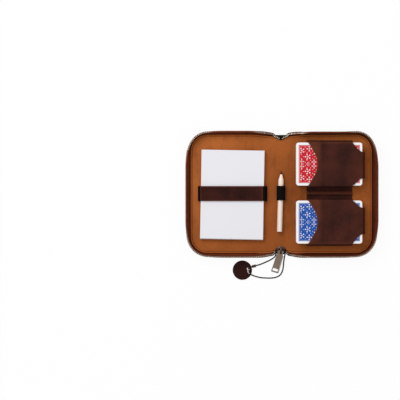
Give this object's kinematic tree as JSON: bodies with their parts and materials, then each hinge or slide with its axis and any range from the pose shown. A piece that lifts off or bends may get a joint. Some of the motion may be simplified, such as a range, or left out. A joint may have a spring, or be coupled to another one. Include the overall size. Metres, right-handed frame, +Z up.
{
  "type": "playing card case",
  "caption": "Zip-around leather card case, open flat: card decks in a leather pocket, note pad under a strap, pencil on the spine, slider with pull tab, bead chain and round tag.",
  "frame": {"origin": "middle of the spine's underside, with the case open flat", "axes": "+X over the back half with the decks, +Y to the top of the case, +Z up out of the open case"},
  "size_m": [0.2592, 0.1998, 0.0216],
  "materials": {
    "cover_leather": "worn brown pull-up leather",
    "gusset_leather": "dark brown leather",
    "lining_suede": "tan brushed lining",
    "core_board": "grey board core",
    "zip_tape": "woven black tape",
    "zip_teeth": "nickel plated",
    "pocket_leather": "dark brown smooth leather",
    "strap_leather": "dark brown leather",
    "black_elastic": "woven black elastic",
    "note_paper": "matt paper",
    "grey_board": "grey board",
    "card_edges": "cut card edges",
    "red_card_back": "coated card",
    "blue_card_back": "coated card",
    "pencil_wood": "pale painted wood",
    "pencil_graphite": "graphite",
    "slider_metal": "gunmetal plated die casting",
    "tab_metal": "brushed warm nickel",
    "chain_metal": "nickel plated beads",
    "connector_metal": "antique brass"
  },
  "bodies": {
    "back_half": {"back_cover_leather": "cover_leather", "back_spine_flap": "cover_leather", "back_board": "core_board", "back_lining": "lining_suede", "back_gusset": "gusset_leather", "back_zip_tape": "zip_tape", "back_zip_teeth": "zip_teeth", "card_pocket": "pocket_leather", "ball_chain": "chain_metal", "chain_connector": "connector_metal", "leather_tag": "strap_leather"},
    "red_deck": {"red_top_card": "red_card_back", "red_deck_stack": "card_edges"},
    "blue_deck": {"blue_top_card": "blue_card_back", "blue_deck_stack": "card_edges"},
    "spine": {"spine_leather": "cover_leather", "spine_stiffener": "core_board", "spine_lining": "lining_suede", "pencil_loop": "black_elastic", "zip_top_end": "zip_tape", "zip_bottom_end": "zip_tape", "zip_slider": "slider_metal"},
    "pull_tab": {"pull_tab": "tab_metal"},
    "pencil": {"pencil_barrel": "pencil_wood", "pencil_lead": "pencil_graphite"},
    "front_half": {"front_cover_leather": "cover_leather", "front_spine_flap": "cover_leather", "front_board": "core_board", "front_lining": "lining_suede", "front_gusset": "gusset_leather", "front_zip_tape": "zip_tape", "front_zip_teeth": "zip_teeth", "strap_elastic": "black_elastic", "strap_leather": "strap_leather"},
    "note_pad": {"note_sheets": "note_paper", "note_backing": "grey_board", "note_binding": "note_paper"}
  },
  "joints": [
    {"name": "spine_fold", "type": "hinge", "parent": "back_half", "child": "spine", "pos_m": [0.01, 0, 0.008], "axis": [0, 1, 0], "range_deg": [0, 90], "deforming": ["ball_chain"]},
    {"name": "cover_fold", "type": "hinge", "parent": "spine", "child": "front_half", "pos_m": [-0.01, 0, 0.008], "axis": [0, 1, 0], "range_deg": [0, 90]},
    {"name": "red_deck_slide", "type": "slide", "parent": "back_half", "child": "red_deck", "axis": [-1, 0, 0], "range_m": [0, 0.005]},
    {"name": "blue_deck_slide", "type": "slide", "parent": "back_half", "child": "blue_deck", "axis": [-1, 0, 0], "range_m": [0, 0.005]},
    {"name": "pencil_slide", "type": "slide", "parent": "spine", "child": "pencil", "axis": [0.0319, 0.9995, 0], "range_m": [-0.017, 0.038]},
    {"name": "note_pad_slide", "type": "slide", "parent": "front_half", "child": "note_pad", "axis": [0.0175, 0.9998, 0], "range_m": [-0.015, 0.015]},
    {"name": "pull_tab_hinge", "type": "hinge", "parent": "spine", "child": "pull_tab", "pos_m": [0.0004, -0.0772, 0.0124], "axis": [-0.9563, 0.2924, 0], "range_deg": [0, 45]}
  ],
  "couplings": [
    {"joint": "cover_fold", "follows": "spine_fold", "ratio": 1}
  ]
}
